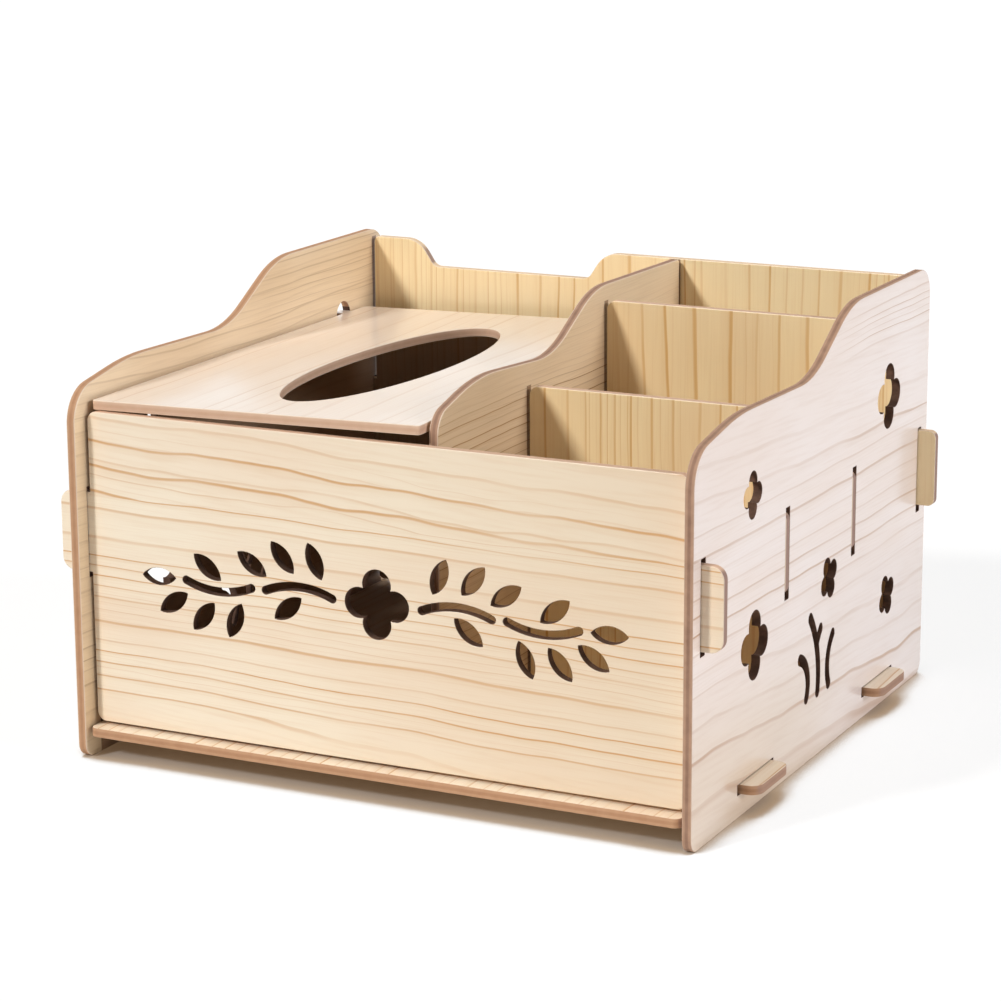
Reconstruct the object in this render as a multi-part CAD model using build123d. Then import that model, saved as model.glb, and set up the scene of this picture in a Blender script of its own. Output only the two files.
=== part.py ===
from build123d import *
import os
from math import atan2, cos, degrees, hypot, radians, sin, tan

# Wooden tissue box: nine boards pushed together with tabs and slots, with a lid that turns on its own ears.
# Millimetres. X runs to the right, Y to the back and Z up. The origin is under the middle of the box,
# on the surface that the two side panels stand on.

# Box
box_width = 208.0           # over the outer faces of the side panels
box_depth = 200.0           # front edge to rear edge of a side panel
box_height = 139.5          # surface to the top of a side panel
board = 3.0                 # thickness of every board
tissue_width = 116.0        # clear width between the left side panel and the divider
panel_setback = 5.6         # side panel's edge to the face of the front or back panel
base_setback = 0.6          # side panel's edge to the edge of the base
base_lift = 7.2             # surface to the underside of the base

# Places of the partitions, in shares of the box's depth from its middle
front_partition_share = -0.1365
rear_partition_share = 0.1525

# Drops from the top of the side panels to the tops of other boards
front_drop = 29.2
front_partition_drop = 23.3
rear_partition_drop = 6.2
back_drop = 2.3

# Fits
end_gap = 0.9               # end of a board to the board that it meets
divider_gap = 2.9           # front edge of the divider to the front panel
foot_gap = 1.0              # foot of the front and back panels to the base
slot_gap = 0.15             # face of a tab to the wall of its slot
tab_play = 1.6              # end of a tab to the end of its slot
seat_gap = 0.2              # lid to the front panel's top, at the lid's low side
hinge_gap = 1.0             # lid's ear to the hinge hole, at its nearest

# Tabs, placed in shares of the box's height from the surface or of its depth from the middle
tab_length = 25.5
front_tab_reach = 6.9       # how far the front tabs stand out of the side panels
tab_reach = 6.1             # how far the back and base tabs stand out of them
back_tab_lift = 1.0         # how far the back tabs sit above the middle of their slots
tab_radius = 4.0            # of the front and base tabs
small_tab_radius = 2.4      # of the back tabs and of those that end flush
upright_tab_share = 0.516
base_tab_shares = (-0.253, 0.280)
foot_tab_shares = (-0.225, 0.225)           # tabs under the divider

# Wavy top of a side panel: shares of the depth from its front edge, and drops from its top
hump_share = 0.165
dip_share = 0.465
crest_share = 0.626
shoulder_drop = 22.7
hump_drop = 16.9
dip_drop = 18.2
shoulder_radius = 12.0
hump_radius = 100.0
dip_radius = 40.0
crest_radius = 40.0
rear_radius = 9.0
foot_radius = 4.5

# Wavy top of the divider, given in the same way
divider_hump_share = 0.195
divider_dip_share = 0.4525
divider_crest_share = 0.61
divider_shoulder_drop = 21.4
divider_hump_drop = 14.2
divider_dip_drop = 17.6
divider_crest_drop = 1.2
divider_shoulder_radius = 8.0
divider_hump_radius = 80.0
divider_corner_radius = 1.5

# Front panel, base and partitions
front_radius = 3.0
base_radius = 2.5
partition_radius = 3.0

# Back panel: two raised parts and a lowered middle behind the lid
back_dip = 9.3              # depth of the lowered middle
back_ear = 17.7             # width of the raised part on the left
back_low = 59.7             # width of the lowered middle
back_slope = 6.2            # width of the slope on each side of it
back_shoulder_radius = 10.0
back_hollow_radius = 3.5
back_radius = 2.0

# Lid
lid_gap_left = 1.6          # lid to the left side panel
lid_gap_right = 0.9         # lid to the divider
lid_lap = 1.2               # lid's front edge over the top of the front panel
lid_rear_gap = 8.9          # lid's rear edge to the back panel
lid_roll = 1.3              # degrees by which the lid's right side lies higher
lid_radius = 1.2
hinge_setback = 21.6        # back panel to the hinge axis
ear_width = 6.0
ear_radius = 0.8
oval_length_share = 0.740   # of the lid's length
oval_width_share = 0.356    # of the lid's width
oval_shift = 3.4            # middle of the oval, in front of the middle of the lid
oval_side_shift = 3.85      # middle of the oval, to the right of the middle of the lid
hinge_share = 0.2           # share of the lid's width, from the left, at which the axis crosses the lid

# Cut-outs in the side panels, placed in shares of the box's depth and height
large_blossom = 21.3
small_blossom = 14.4
clover_span = 14.4
clover_turn = 28.0          # degrees by which a clover is turned
petal_share = 0.22          # radius of a round petal, of the span of its blossom
blossom_eye_share = 0.2
rear_blossom_share = (0.308, 0.739)         # in the right panel alone, where there is no hinge hole
front_blossom_share = (-0.2645, 0.360)
small_blossom_share = (-0.279, 0.691)
clover_shares = ((0.046, 0.3975), (0.3185, 0.259))
grass_width = 3.6
grass_shares = (
    ((-0.0445, 0.152), (-0.039, 0.186), (-0.0745, 0.252)),
    ((0.0038, 0.149), (0.0035, 0.222), (-0.032, 0.331)),
    ((-0.0015, 0.264), (0.0045, 0.277), (0.0125, 0.292)),
    ((0.052, 0.149), (0.045, 0.197), (0.067, 0.260)),
)

# Garland cut through the front panel: a blossom, and a leafy stem of two waves on each side of it
garland_height_share = 0.55                 # of the front panel's top, to the middle of the garland
garland_reach_share = 0.66                  # of half the front panel's width, to the end of a stem
garland_blossom = 21.5
garland_gap = 3.0           # blossom to the stems
wave_rise = 2.4
stem_width = 2.6
stem_bridge = 2.4           # wood left between one wave and the next, and between leaf and stem
leaf_length = 12.0
leaf_width = 5.4
leaf_angle = 48.0           # degrees between a leaf and its stem
outer_leaf_shares = (0.08, 0.44, 0.80)
inner_leaf_share = 0.30

# Rounding of an outline takes up no more than this share of a side at each end
corner_share = 0.45

# Planes and levels worked out from the sizes above
side_middle = (box_width - board) / 2
inner_face = box_width / 2 - board
divider_left = -inner_face + tissue_width
divider_middle = divider_left + board / 2
divider_right = divider_left + board
front_edge = -box_depth / 2
panel_middle = box_depth / 2 - panel_setback - board / 2
panel_inner = panel_middle - board / 2
panel_end = inner_face - end_gap
front_tab_end = box_width / 2 + front_tab_reach
tab_end = box_width / 2 + tab_reach
tab_height = upright_tab_share * box_height
partition_places = (front_partition_share * box_depth, rear_partition_share * box_depth)
base_tab_places = [share * box_depth for share in base_tab_shares]
foot_tab_places = [share * box_depth for share in foot_tab_shares]
base_middle = base_lift + board / 2
base_top = base_lift + board
panel_foot = base_top + foot_gap
slot_length = tab_length + 2 * tab_play
slot_width = board + 2 * slot_gap
front_height = box_height - front_drop
back_top = box_height - back_drop

# Lid and hinge, worked out from the boards that carry them
lid_left = -inner_face + lid_gap_left
lid_width = divider_left - lid_gap_right - lid_left
lid_front = -panel_inner - lid_lap
lid_rear = panel_inner - lid_rear_gap
lid_length = lid_rear - lid_front
hinge_place = panel_inner - hinge_setback
ear_left = -box_width / 2 - lid_left
ear_right = divider_right - lid_left
axis_place = hinge_share * lid_width
slant = radians(lid_roll)
hinge_height = front_height + seat_gap + board / 2 * cos(slant) + axis_place * sin(slant)


def rounded_face(corners):
    """Face whose corners, each a place and a radius, are rounded as far as their sides allow."""
    points = [Vector(x, y) for x, y, _ in corners]
    arcs = []
    for i, (_, _, radius) in enumerate(corners):
        here = points[i]
        behind = points[i - 1] - here
        ahead = points[(i + 1) % len(points)] - here
        half_turn = radians(180 - behind.get_angle(ahead)) / 2
        reach = min(radius * tan(half_turn), corner_share * behind.length, corner_share * ahead.length)
        inward = (behind.normalized() + ahead.normalized()).normalized()
        depth = reach / tan(half_turn) * (1 / cos(half_turn) - 1)
        start = here + behind.normalized() * reach
        end = here + ahead.normalized() * reach
        arcs.append(ThreePointArc(start, here + inward * depth, end))
    lines = [Line(arcs[i - 1] @ 1, arc @ 0) for i, arc in enumerate(arcs)]
    return make_face(arcs + lines)


def bar(low, high, middle, width, radius):
    """Rounded bar along the first axis of a board's plane; its ends become tabs where it stands out."""
    return Pos((low + high) / 2, middle) * RectangleRounded(high - low, width, radius)


def plate(low, high, bottom, top, radius):
    """Rectangle with rounded corners."""
    return Pos((low + high) / 2, (bottom + top) / 2) * RectangleRounded(high - low, top - bottom, radius)


def upright_slot(place, height=tab_height):
    """Slot in a board for the tab of an upright board."""
    return Pos(place, height) * Rectangle(slot_width, slot_length)


def flat_slot(place, height):
    """Slot in a board for a tab that lies across it."""
    return Pos(place, height) * Rectangle(slot_length, slot_width)


def thicken(sketch, plane):
    """Board whose middle lies in a plane."""
    return extrude(plane * sketch, amount=board / 2, both=True)


def leaf(length, width):
    """Pointed leaf along the first axis, with its root at the origin."""
    tip = (length, 0)
    upper = ThreePointArc((0, 0), (length / 2, width / 2), tip)
    lower = ThreePointArc(tip, (length / 2, -width / 2), (0, 0))
    return make_face([upper, lower])


def blossom(span):
    """Blossom of four round petals that run into each other."""
    petal = span * petal_share
    shape = Sketch() + Circle(span * blossom_eye_share)
    for quarter in range(4):
        shape += Rot(0, 0, quarter * 90) * Pos(span / 2 - petal, 0) * Circle(petal)
    return shape


def placed(shape, shares):
    """Shape moved to a place given in shares of a side panel."""
    return Pos(shares[0] * box_depth, shares[1] * box_height) * shape


def grass():
    """Tuft of curved blades."""
    blades = []
    for blade_shares in grass_shares:
        line = ThreePointArc(*[(y * box_depth, z * box_height) for y, z in blade_shares])
        blades.append(SlotArc(line, grass_width))
    return blades


def side_outline():
    """Side panel with its slots and the cut-outs that both sides share, in its own plane."""
    corners = [
        (front_edge, 0, foot_radius),
        (-front_edge, 0, foot_radius),
        (-front_edge, box_height, rear_radius),
        (front_edge + crest_share * box_depth, box_height, crest_radius),
        (front_edge + dip_share * box_depth, box_height - dip_drop, dip_radius),
        (front_edge + hump_share * box_depth, box_height - hump_drop, hump_radius),
        (front_edge, box_height - shoulder_drop, shoulder_radius),
    ]
    outline = rounded_face(corners)
    outline -= placed(blossom(large_blossom), front_blossom_share)
    outline -= placed(blossom(small_blossom), small_blossom_share)
    for shares in clover_shares:
        outline -= placed(Rot(0, 0, clover_turn) * blossom(clover_span), shares)
    for blade in grass():
        outline -= blade
    for side in (-1, 1):
        outline -= upright_slot(side * panel_middle)
    for place in base_tab_places:
        outline -= flat_slot(place, base_middle)
    return outline


def hinge_hole(ear_end):
    """Round hole that an ear of the lid turns in, wide enough for the slant of the ear."""
    rise = abs(ear_end - axis_place) * sin(slant)
    return Pos(hinge_place, hinge_height) * Circle(hypot(ear_width / 2, board / 2 + rise) + hinge_gap)


def left_side_panel():
    return thicken(side_outline() - hinge_hole(ear_left), Plane.YZ.offset(-side_middle))


def right_side_panel():
    outline = side_outline() - placed(blossom(large_blossom), rear_blossom_share)
    for place in partition_places:
        outline -= upright_slot(place)
    return thicken(outline, Plane.YZ.offset(side_middle))


def centre_divider():
    front = -panel_inner + divider_gap
    rear = panel_inner - end_gap
    corners = [
        (front, base_top, divider_corner_radius),
        (rear, base_top, divider_corner_radius),
        (rear, back_top, divider_corner_radius),
        (front_edge + divider_crest_share * box_depth, box_height - divider_crest_drop, crest_radius),
        (front_edge + divider_dip_share * box_depth, box_height - divider_dip_drop, dip_radius),
        (front_edge + divider_hump_share * box_depth, box_height - divider_hump_drop, divider_hump_radius),
        (front, box_height - divider_shoulder_drop, divider_shoulder_radius),
    ]
    outline = rounded_face(corners)
    outline += bar(0, panel_middle + board / 2, tab_height, tab_length, small_tab_radius)
    for place in foot_tab_places:
        low = place - tab_length / 2
        outline += plate(low, low + tab_length, base_lift, tab_height, divider_corner_radius)
    for place in partition_places:
        outline -= upright_slot(place)
    return thicken(outline - hinge_hole(ear_right), Plane.YZ.offset(divider_middle))


def stem_leaf(stem, share, side):
    """Leaf that leans forward on one side of a stem, clear of it by the bridge."""
    direction = stem % share
    turn = degrees(atan2(direction.Y, direction.X)) + side * leaf_angle
    root_gap = (stem_width / 2 + stem_bridge) / sin(radians(leaf_angle))
    return Pos(stem @ share) * Rot(0, 0, turn) * Pos(root_gap, 0) * leaf(leaf_length, leaf_width)


def garland_half():
    """Leafy stem of two waves to the right of the origin, with a leaf at its end."""
    garland_reach = garland_reach_share * panel_end
    start = garland_blossom / 2 + garland_gap + stem_width / 2
    wave = (garland_reach - start - stem_width - stem_bridge) / 2
    shapes = [Pos(garland_reach + stem_width / 2 + stem_bridge, 0) * leaf(leaf_length, leaf_width)]
    for low, side in ((start, 1), (garland_reach - wave, -1)):
        stem = ThreePointArc((low, 0), (low + wave / 2, side * wave_rise), (low + wave, 0))
        shapes += [SlotArc(stem, stem_width), stem_leaf(stem, inner_leaf_share, -side)]
        shapes += [stem_leaf(stem, share, side) for share in outer_leaf_shares]
    return shapes


def garland():
    """Blossom with a leafy stem on each side, round the origin."""
    half = garland_half()
    return [blossom(garland_blossom)] + half + [mirror(shape, Plane.YZ) for shape in half]


def front_panel():
    outline = plate(-panel_end, panel_end, panel_foot, front_height, front_radius)
    outline += bar(-front_tab_end, front_tab_end, tab_height, tab_length, tab_radius)
    for shape in garland():
        outline -= Pos(0, garland_height_share * front_height) * shape
    return thicken(outline, Plane.XZ.offset(panel_middle))


def back_panel():
    low_left = -panel_end + back_ear + back_slope
    low_right = low_left + back_low
    corners = [
        (-panel_end, panel_foot, back_radius),
        (panel_end, panel_foot, back_radius),
        (panel_end, back_top, back_radius),
        (low_right + back_slope, back_top, back_shoulder_radius),
        (low_right, back_top - back_dip, back_hollow_radius),
        (low_left, back_top - back_dip, back_hollow_radius),
        (low_left - back_slope, back_top, back_shoulder_radius),
        (-panel_end, back_top, back_radius),
    ]
    outline = rounded_face(corners)
    outline += bar(-tab_end, tab_end, tab_height + back_tab_lift, tab_length, small_tab_radius)
    outline -= upright_slot(divider_middle)
    return thicken(outline, Plane.XZ.offset(-panel_middle))


def base_panel():
    half_depth = box_depth / 2 - base_setback
    outline = plate(-panel_end, panel_end, -half_depth, half_depth, base_radius)
    for place in base_tab_places:
        outline += bar(-tab_end, tab_end, place, tab_length, tab_radius)
    for place in foot_tab_places:
        outline -= upright_slot(divider_middle, place)
    return thicken(outline, Plane.XY.offset(base_middle))


def partition(drop, place):
    """Cross wall of the small compartments, with a flush tab at each end."""
    outline = plate(divider_right + end_gap, panel_end, base_top, box_height - drop, partition_radius)
    outline += bar(divider_left, box_width / 2, tab_height, tab_length, small_tab_radius)
    return thicken(outline, Plane.XZ.offset(-place))


def lid():
    outline = plate(0, lid_width, lid_front, lid_rear, lid_radius)
    outline += bar(ear_left, ear_right, hinge_place, ear_width, ear_radius)
    oval_middle = Pos(lid_width / 2 + oval_side_shift, (lid_front + lid_rear) / 2 - oval_shift)
    oval = Ellipse(oval_width_share * lid_width / 2, oval_length_share * lid_length / 2)
    outline -= oval_middle * oval
    level = thicken(outline, Plane.XY.offset(board / 2))
    return Pos(lid_left, 0, front_height + seat_gap) * Rot(0, -lid_roll, 0) * level


nodes = {
    "left_side_panel": left_side_panel(),
    "right_side_panel": right_side_panel(),
    "centre_divider": centre_divider(),
    "front_panel": front_panel(),
    "back_panel": back_panel(),
    "base_panel": base_panel(),
    "front_partition": partition(front_partition_drop, partition_places[0]),
    "rear_partition": partition(rear_partition_drop, partition_places[1]),
    "lid": lid(),
}

os.makedirs("parts", exist_ok=True)
for name, solid in nodes.items():
    export_step(solid, f"parts/{name}.step")
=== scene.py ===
from math import cos, radians, sin, tan

import bpy
from mathutils import Matrix, Vector


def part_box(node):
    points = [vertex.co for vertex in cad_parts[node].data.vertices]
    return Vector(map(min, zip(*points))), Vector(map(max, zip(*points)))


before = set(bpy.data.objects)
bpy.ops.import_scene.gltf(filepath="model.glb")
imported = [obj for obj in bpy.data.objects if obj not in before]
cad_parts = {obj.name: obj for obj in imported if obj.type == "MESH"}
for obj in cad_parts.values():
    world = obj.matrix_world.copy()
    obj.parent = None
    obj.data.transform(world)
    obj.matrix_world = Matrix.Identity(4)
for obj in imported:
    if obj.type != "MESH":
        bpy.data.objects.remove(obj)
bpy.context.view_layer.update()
MM = 1000.0

# How each board is printed and cut. The axes are the one that the grain runs along, the one across it and
# the one through the board. Growth lines lie as close as the spacing, in mm, within the dense band and
# further apart outside it; they drop by the slope along the grain, wander by some mm, and are as strong as
# lines says. Bands of finer ones between them are as strong as fine. From the first place of calm to the
# second one the lines fade away; past the places of swirl they crowd together. The film takes on another
# tone by some share between the places of deeper, along and across the grain; on the front this is painted
# shade, darker towards its right end. Walls of holes within scorched, along and across the grain, are burnt
# dark. The strips in the last entry, which lie behind the ends of other boards, up to some height and on one
# face, get painted shade, the same brown as the low insides of the compartments.
BOARDS = {
    "front_panel": dict(
        axes="xzy", seed=3.1, spacing=4.8, dense=(20, 84), slope=0.024, wander=6, lines=1.0, fine=0.45,
        calm=(24, 14), film="cream", edge="light", end=1.0, scorched=(-98, 98, 14, 106), gloss=0.5,
        # On the front, deeper is painted shade: the film darkens towards the right end, where the light falls
        # off.
        deeper=("dusk", 0.4, (-70, 100), (200, 150))),
    "back_panel": dict(
        axes="zxy", seed=8.4, spacing=7.0, lines=0.9, fine=0.6, film="gold", edge="fair", end=1.0,
        shaded_gaps=[("x", 14.5, 18.0, 137, -1)]),
    "left_side_panel": dict(
        axes="yzx", seed=5.7, spacing=5.2, slope=0.02, wander=9, lines=0.45, film="tan", edge="tan",
        scorched=(-96, 96, 3, 114.5), swirl=(-10, 45, 112, 118), shaded_gaps=[("y", 91.5, 94.3, 137, 1)]),
    "right_side_panel": dict(
        axes="yzx", seed=1.9, spacing=5.6, dense=(46, 94), slope=0.024, wander=6, lines=1.0, calm=(93, 99),
        film="pale", edge="brown", scorched=(-96, 96, 3, 114.5), swirl=(0, 50, 112, 124), gloss=1.0,
        deeper=("dusk", 0.6, (60, -40), (55, 15)), rim=0.2),
    "centre_divider": dict(
        axes="yzx", seed=7.2, spacing=2.8, wander=8, lines=1.0, fine=0.5, calm=(112, 121), film="tan",
        edge="brown", deeper=("dusk", 1.0, (0, -60), (200, 150)),
        shaded_gaps=[("y", -28.8, -25.8, 116, 1), ("y", 29.0, 32.0, 133, 1)]),
    "base_panel": dict(
        axes="yxz", seed=4.6, spacing=5.0, wander=8, lines=0.8, film="cream", edge="tan", end=0.6, rim=0.0),
    "front_partition": dict(
        axes="zxy", seed=6.3, spacing=7.0, lines=0.9, fine=0.8, film="straw", edge="light", end=1.0),
    "rear_partition": dict(
        axes="zxy", seed=9.5, spacing=10.0, lines=0.9, fine=0.5, film="straw", edge="light", end=1.0),
    "lid": dict(
        axes="yxz", seed=2.8, spacing=8.0, wander=9, lines=0.5, film="rose", edge="light", lean=-1.3,
        gloss=1.0, under_film="tan"),
}

# Insides of the tissue compartment and of the two rear compartments, where shade is painted on, in mm: from
# left to right, from front to back, and from the height where the painted shade starts down to where it is
# darkest, and by what share.
SHADED_ROOMS = [
    ((-101.3, 15.3), (-91.7, 91.7), (112.0, 102.0), 1.0),
    ((17.7, 101.3), (-26.0, 91.7), (85.0, 45.0), 0.7),
]
# The painted shade reaches at most this share of its brown.
SHADE_PAINT_SHARE = 0.74


def paint(red, green, blue):
    """A colour as it is seen on a screen, from 0 to 255."""
    return tuple(((c / 255 + 0.055) / 1.055) ** 2.4 for c in (red, green, blue)) + (1.0,)


FILM = {
    "cream": paint(245, 231, 208), "pale": paint(246, 232, 226), "straw": paint(245, 221, 174),
    "tan": paint(244, 220, 186), "rose": paint(252, 236, 220), "gold": paint(252, 231, 186),
}
BLUSH = {
    "cream": paint(241, 221, 196), "pale": paint(242, 223, 212), "straw": paint(239, 212, 166),
    "tan": paint(234, 207, 171), "rose": paint(249, 229, 209), "gold": paint(248, 223, 176),
    "dusk": paint(218, 192, 158),
}
LINE = {
    "cream": paint(204, 149, 82), "pale": paint(192, 148, 114), "straw": paint(208, 158, 86),
    "tan": paint(160, 116, 68), "rose": paint(214, 170, 130), "gold": paint(214, 164, 92),
}
EDGE = {
    "brown": paint(184, 147, 122), "tan": paint(198, 156, 122), "light": paint(218, 184, 158),
    "fair": paint(240, 214, 182),
}
CORE = {
    "brown": paint(134, 101, 82), "tan": paint(174, 128, 94), "light": paint(202, 164, 136),
    "fair": paint(226, 194, 156),
}
END = paint(158, 128, 116)
BURNT = paint(78, 52, 38)
# Brown of the painted shade low in the compartments and in the gaps behind the ends of boards.
SHADE_PAINT_BROWN = paint(122, 80, 52)
FILM_RIM = paint(228, 206, 184)


class Graph:
    """A material's node tree, filled node by node."""

    def __init__(self, owner):
        owner.use_nodes = True
        self.tree = owner.node_tree
        self.tree.nodes.clear()

    def add(self, kind, inputs, **settings):
        node = self.tree.nodes.new("ShaderNode" + kind)
        for name, value in settings.items():
            setattr(node, name, value)
        for key, value in inputs.items():
            if isinstance(value, bpy.types.NodeSocket):
                self.tree.links.new(value, node.inputs[key])
            else:
                node.inputs[key].default_value = value
        return node

    def math(self, operation, *values):
        return self.add("Math", dict(enumerate(values)), operation=operation).outputs[0]

    def over(self, value, length):
        return self.math("DIVIDE", value, length)

    def vector(self, x, y, z):
        return self.add("CombineXYZ", {"X": x, "Y": y, "Z": z}).outputs[0]

    def parts(self, vector):
        return dict(zip("xyz", self.add("SeparateXYZ", {"Vector": vector}).outputs))

    def noise(self, vector, detail=2.0):
        return self.add("TexNoise", {"Vector": vector, "Scale": 1.0, "Detail": detail}).outputs["Fac"]

    def step(self, value, start, end, low=0.0, high=1.0):
        spans = {"Value": value, "From Min": start, "From Max": end, "To Min": low, "To Max": high}
        return self.add("MapRange", spans, interpolation_type="SMOOTHSTEP").outputs["Result"]

    def mix(self, factor, first, second):
        return self.add("Mix", {0: factor, 6: first, 7: second}, data_type="RGBA").outputs[2]

    def ramp(self, value, stops):
        node = self.add("ValToRGB", {"Fac": value})
        node.color_ramp.interpolation = "EASE"
        while len(node.color_ramp.elements) < len(stops):
            node.color_ramp.elements.new(1.0)
        for element, (place, level) in zip(node.color_ramp.elements, stops):
            element.position = place
            element.color = (level, level, level, 1.0)
        return node.outputs["Color"]


def growth_lines(g, along, across, seed, spacing, wander):
    """Growth lines of uneven spacing and strength that wander along the grain, 1 in their darkest part."""
    sway = g.noise(g.vector(g.over(along, 105.0), g.over(across, 60.0), seed), 1.0)
    tremble = g.noise(g.vector(g.over(along, 22.0), g.over(across, 30.0), seed + 20.0), 1.0)
    swayed = g.math("MULTIPLY_ADD", sway, wander, g.math("MULTIPLY_ADD", tremble, 1.1, across))
    uneven = g.noise(g.vector(g.over(swayed, 3.1 * spacing), seed + 40.0, 0.0), 0.0)
    count = g.over(g.math("MULTIPLY_ADD", uneven, 2.4 * spacing, swayed), spacing)
    profile = [(0.0, 0.0), (0.5, 0.0), (0.83, 0.15), (0.925, 1.0), (0.97, 0.85), (1.0, 0.0)]
    line = g.ramp(g.math("FRACT", count), profile)
    own = g.add("TexWhiteNoise", {"W": g.math("ADD", g.math("FLOOR", count), seed)}, noise_dimensions="1D")
    strength = g.step(own.outputs["Value"], 0.0, 1.0, 0.3, 1.0)
    fading = g.noise(g.vector(g.over(along, 70.0), g.over(across, 26.0), seed + 60.0))
    return g.math("MULTIPLY", g.math("MULTIPLY", line, strength), g.step(fading, 0.3, 0.55, 0.55, 1.0))


def within(g, value, low, high):
    """1 between two places, and 0 outside them."""
    return g.math("COMPARE", value, (low + high) / 2, (high - low) / 2)


def board_material(name, axes, seed, spacing, lines, film, edge, dense=(-110, 150), slope=0.0, wander=7,
                   fine=0.0, calm=None, swirl=None, scorched=None, shaded_gaps=(), deeper=None, under_film=None,
                   end=0.0, lean=0.0, gloss=0.35, rim=1.0):
    """Board faced with wood-print film on both sides, its cut edges left bare and scorched brown."""
    material = bpy.data.materials.new(name + "_film_faced_board")
    g = Graph(material)
    lowest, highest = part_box(name)
    middle = (lowest + highest) / 2 * MM
    coordinates = g.add("TexCoord", {})
    place = g.add("VectorMath", {0: coordinates.outputs["Object"], 1: (MM,) * 3}, operation="MULTIPLY")
    at = g.parts(place.outputs[0])
    along, across, through = (at[axis] for axis in axes)
    depth = g.math("SUBTRACT", through, middle["xyz".index(axes[2])])
    if lean:
        sideways = g.math("SUBTRACT", at["x"], middle.x)
        depth = g.math("MULTIPLY_ADD", sideways, tan(radians(lean)), depth)
    side = g.math("SIGN", depth)
    normal = g.parts(coordinates.outputs["Normal"])
    on_film = g.step(g.math("ABSOLUTE", normal[axes[2]]), 0.55, 0.95)

    held = g.math("MINIMUM", g.math("MAXIMUM", across, dense[0]), dense[1])
    spread = g.math("MULTIPLY_ADD", g.math("SUBTRACT", across, held), 0.42, held)
    shift = g.math("MULTIPLY_ADD", side, 90.0, g.math("MULTIPLY_ADD", along, slope, spread))
    drawn = growth_lines(g, along, shift, seed, spacing, wander)
    if fine:
        bands = g.noise(g.vector(g.over(shift, 2.6 * spacing), seed + 30.0, 0.0), 0.0)
        thin = growth_lines(g, along, shift, seed + 7.0, spacing * 0.36, wander * 0.8)
        thin = g.math("MULTIPLY", thin, g.step(bands, 0.42, 0.62, 0.0, fine))
        drawn = g.math("MAXIMUM", drawn, thin)
    if calm:
        drawn = g.math("MULTIPLY", drawn, g.step(across, calm[0], calm[1], 1.0, 0.22))
    if swirl:
        corner = g.math("MULTIPLY", g.step(along, swirl[0], swirl[1]), g.step(across, swirl[2], swirl[3]))
        close = growth_lines(g, along, across, seed + 5.0, spacing * 0.55, wander * 1.5)
        drawn = g.math("MAXIMUM", drawn, g.math("MULTIPLY", close, corner))
    drawn = g.math("MULTIPLY", drawn, lines)
    cloud = g.noise(g.vector(g.over(along, 90.0), g.over(shift, 30.0), seed + 11.0))
    fibre = g.noise(g.vector(g.over(along, 22.0), g.over(shift, 0.55), seed + 13.0), 4.0)
    ground = g.mix(g.step(cloud, 0.35, 0.68), FILM[film], BLUSH[film])
    if deeper:
        tone, share, (plain, full), (above, below) = deeper
        corner = g.math("MULTIPLY", g.step(along, plain, full, 0.0, share), g.step(across, above, below))
        ground = g.mix(corner, ground, BLUSH[tone])
    if under_film:
        upper = g.math("GREATER_THAN", depth, 0.0)
        ground = g.mix(upper, BLUSH[under_film], ground)
        gloss = g.math("MULTIPLY", upper, gloss)
    streaked = g.mix(g.step(fibre, 0.42, 0.75, 0.0, 0.12), ground, LINE[film])
    printed = g.mix(drawn, streaked, LINE[film])

    # Painted shade, deepening low down inside the compartments.
    painted_shade = 0.0
    for (left, right), (front, rear), (pale, dark), share in SHADED_ROOMS:
        room = g.math("MULTIPLY", within(g, at["x"], left, right), within(g, at["y"], front, rear))
        shaded = g.math("MULTIPLY", room, g.step(at["z"], pale, dark, 0.0, share))
        painted_shade = g.math("MAXIMUM", painted_shade, shaded)
    # Painted shade on the strips hidden in the gaps behind the ends of other boards.
    for axis, low, high, top, face in shaded_gaps:
        gap_shade = g.math("MULTIPLY", within(g, at[axis], low, high), within(g, at["z"], 0, top))
        gap_shade = g.math("MULTIPLY", gap_shade, g.math("COMPARE", side, face, 0.5))
        painted_shade = g.math("MAXIMUM", painted_shade, gap_shade)
    # Both kinds of painted shade are mixed in here, towards the shade brown.
    printed = g.mix(g.math("MULTIPLY", painted_shade, SHADE_PAINT_SHARE), printed, SHADE_PAINT_BROWN)

    off_middle = g.math("ABSOLUTE", depth)
    scorch = g.noise(g.vector(*(g.over(at[axis], 3.0) for axis in "xyz")), 3.0)
    charred = g.math("MULTIPLY_ADD", scorch, 0.8, g.step(off_middle, 0.75, 0.25, -0.2, 0.35))
    cut = g.mix(charred, EDGE[edge], CORE[edge])
    cut = g.mix(g.step(g.math("ABSOLUTE", normal["x"]), 0.6, 0.9, 0.0, end), cut, END)
    rimmed = g.mix(g.step(off_middle, 1.05, 1.35, 0.0, rim), cut, FILM_RIM)
    if scorched:
        low_along, high_along, low_across, high_across = scorched
        hole = within(g, along, low_along, high_along)
        hole = g.math("MULTIPLY", hole, within(g, across, low_across, high_across))
        rimmed = g.mix(hole, rimmed, g.mix(g.step(scorch, 0.3, 0.8, 0.0, 0.5), BURNT, CORE["brown"]))
    colour = g.mix(on_film, rimmed, printed)

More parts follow.
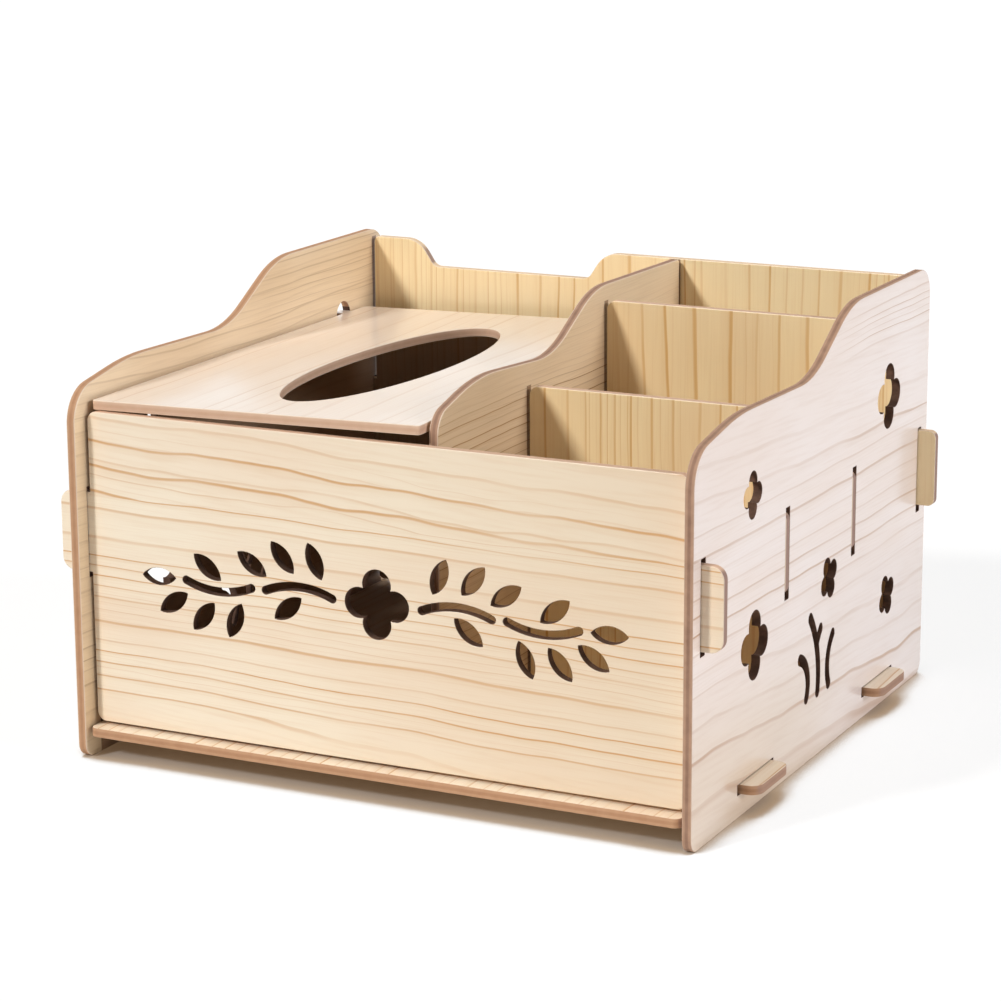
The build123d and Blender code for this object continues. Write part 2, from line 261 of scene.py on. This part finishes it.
    satin = g.step(fibre, 0.3, 0.7, 0.46, 0.56)
    roughness = g.add("Mix", {0: on_film, 2: 0.85, 3: satin}).outputs[0]
    relief = g.math("MULTIPLY_ADD", drawn, -0.6, fibre)
    rough_cut = g.noise(g.vector(*(g.over(at[axis], 0.5) for axis in "xyz")), 3.0)
    height = g.add("Mix", {0: on_film, 2: rough_cut, 3: relief}).outputs[0]
    bump = g.add("Bump", {"Strength": 0.35, "Distance": 0.00005, "Height": height})
    shader = g.add("BsdfPrincipled", {
        "Base Color": colour, "Roughness": roughness, "Normal": bump.outputs["Normal"],
        "Coat Weight": g.math("MULTIPLY", on_film, gloss), "Coat Roughness": 0.2, "Coat IOR": 1.6,
    })
    g.add("OutputMaterial", {"Surface": shader.outputs["BSDF"]})
    return material


def soften_edges(board):
    """Cut edges of a film-faced board are broken by about a quarter of a millimetre."""
    weld = board.modifiers.new("weld", "WELD")
    weld.merge_threshold = 1e-6
    bevel = board.modifiers.new("bevel", "BEVEL")
    bevel.width = 0.00028
    bevel.segments = 2
    bevel.limit_method = "ANGLE"
    bevel.angle_limit = radians(40)
    bevel.use_clamp_overlap = False
    bevel.loop_slide = False
    normals = board.modifiers.new("normals", "WEIGHTED_NORMAL")
    normals.weight = 100


for node, look in BOARDS.items():
    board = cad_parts[node]
    board.data.materials.clear()
    board.data.materials.append(board_material(node, **look))
    soften_edges(board)


def seen_directly(g):
    """1 where the eye meets a surface itself, in a mirror image or through glass."""
    path = g.add("LightPath", {}).outputs
    seen = g.math("MAXIMUM", path["Is Camera Ray"], path["Is Glossy Ray"])
    return g.math("MAXIMUM", seen, path["Is Transmission Ray"])


world = bpy.data.worlds.new("studio")
bpy.context.scene.world = world
g = Graph(world)
strength = g.step(seen_directly(g), 0.0, 1.0, 0.12, 1.0)
sky = g.add("Background", {"Color": (1.0, 1.0, 1.0, 1.0), "Strength": strength})
g.add("OutputWorld", {"Surface": sky.outputs[0]})

bpy.ops.mesh.primitive_plane_add(size=14.0)
floor = bpy.context.object
floor.name = "floor"
paper = bpy.data.materials.new("floor_paper")
g = Graph(paper)
seen = seen_directly(g)
tooth = g.noise(g.add("TexCoord", {}).outputs["Object"], 2.0)
pale = g.mix(seen, (0.93, 0.93, 0.93, 1.0), (0.24, 0.24, 0.24, 1.0))
matt = g.add("BsdfDiffuse", {"Color": pale, "Roughness": g.step(tooth, 0.0, 1.0, 0.3, 0.5)})
# Under the box the paper gets painted warm shade, from how closely the box covers it, deepest behind the lip
# of the base.
cover = g.add("AmbientOcclusion", {"Distance": 0.02}).outputs["AO"]
painted_floor_shade = g.mix(g.step(cover, 0.1, 0.5), paint(85, 63, 42), paint(147, 119, 87))
tone = g.mix(g.step(cover, 0.5, 0.66), painted_floor_shade, (0.8, 0.8, 0.8, 1.0))
glow = g.add("Emission", {"Color": tone, "Strength": seen})
both = g.add("AddShader", {0: matt.outputs[0], 1: glow.outputs[0]})
g.add("OutputMaterial", {"Surface": both.outputs[0]})
floor.data.materials.append(paper)


def lamp(name, towards, strength, softness, colour):
    """A broad far lamp that stands in the direction given."""
    data = bpy.data.lights.new(name, "SUN")
    data.energy = strength
    data.angle = radians(softness)
    data.color = colour
    lit = bpy.data.objects.new(name, data)
    lit.rotation_euler = Vector(towards).to_track_quat("Z", "Y").to_euler()
    bpy.context.scene.collection.objects.link(lit)


lamp("key", (-0.364, -0.727, 0.582), 2.25, 8, (1.0, 0.98, 0.95))
lamp("top", (0.0, -0.05, 1.0), 0.66, 6, (1.0, 1.0, 1.0))
lamp("fill", (0.93, 0.06, 0.36), 1.5, 20, (0.96, 0.97, 1.0))

AZIMUTH, ELEVATION, ROLL = radians(26.287), radians(13.914), radians(-0.311)
DISTANCE, AIM_HEIGHT, AIM_RIGHT, AIM_UP = 1.0267, 0.052, -0.004994, 0.01881
LENS_MM, SENSOR_MM = 114.26, 36.0
right = Vector((cos(AZIMUTH), sin(AZIMUTH), 0.0))
back = Vector((sin(AZIMUTH) * cos(ELEVATION), -cos(AZIMUTH) * cos(ELEVATION), sin(ELEVATION)))
up = back.cross(right)
right, up = cos(ROLL) * right + sin(ROLL) * up, cos(ROLL) * up - sin(ROLL) * right
eye = right * AIM_RIGHT + up * AIM_UP + Vector((0.0, 0.0, AIM_HEIGHT)) + back * DISTANCE
camera = bpy.data.objects.new("camera", bpy.data.cameras.new("camera"))
camera.data.lens = LENS_MM
camera.data.sensor_width = SENSOR_MM
camera.matrix_world = Matrix((
    (right.x, up.x, back.x, eye.x),
    (right.y, up.y, back.y, eye.y),
    (right.z, up.z, back.z, eye.z),
    (0.0, 0.0, 0.0, 1.0),
))
bpy.context.scene.collection.objects.link(camera)
bpy.context.scene.camera = camera
bpy.context.scene.view_settings.view_transform = "Standard"
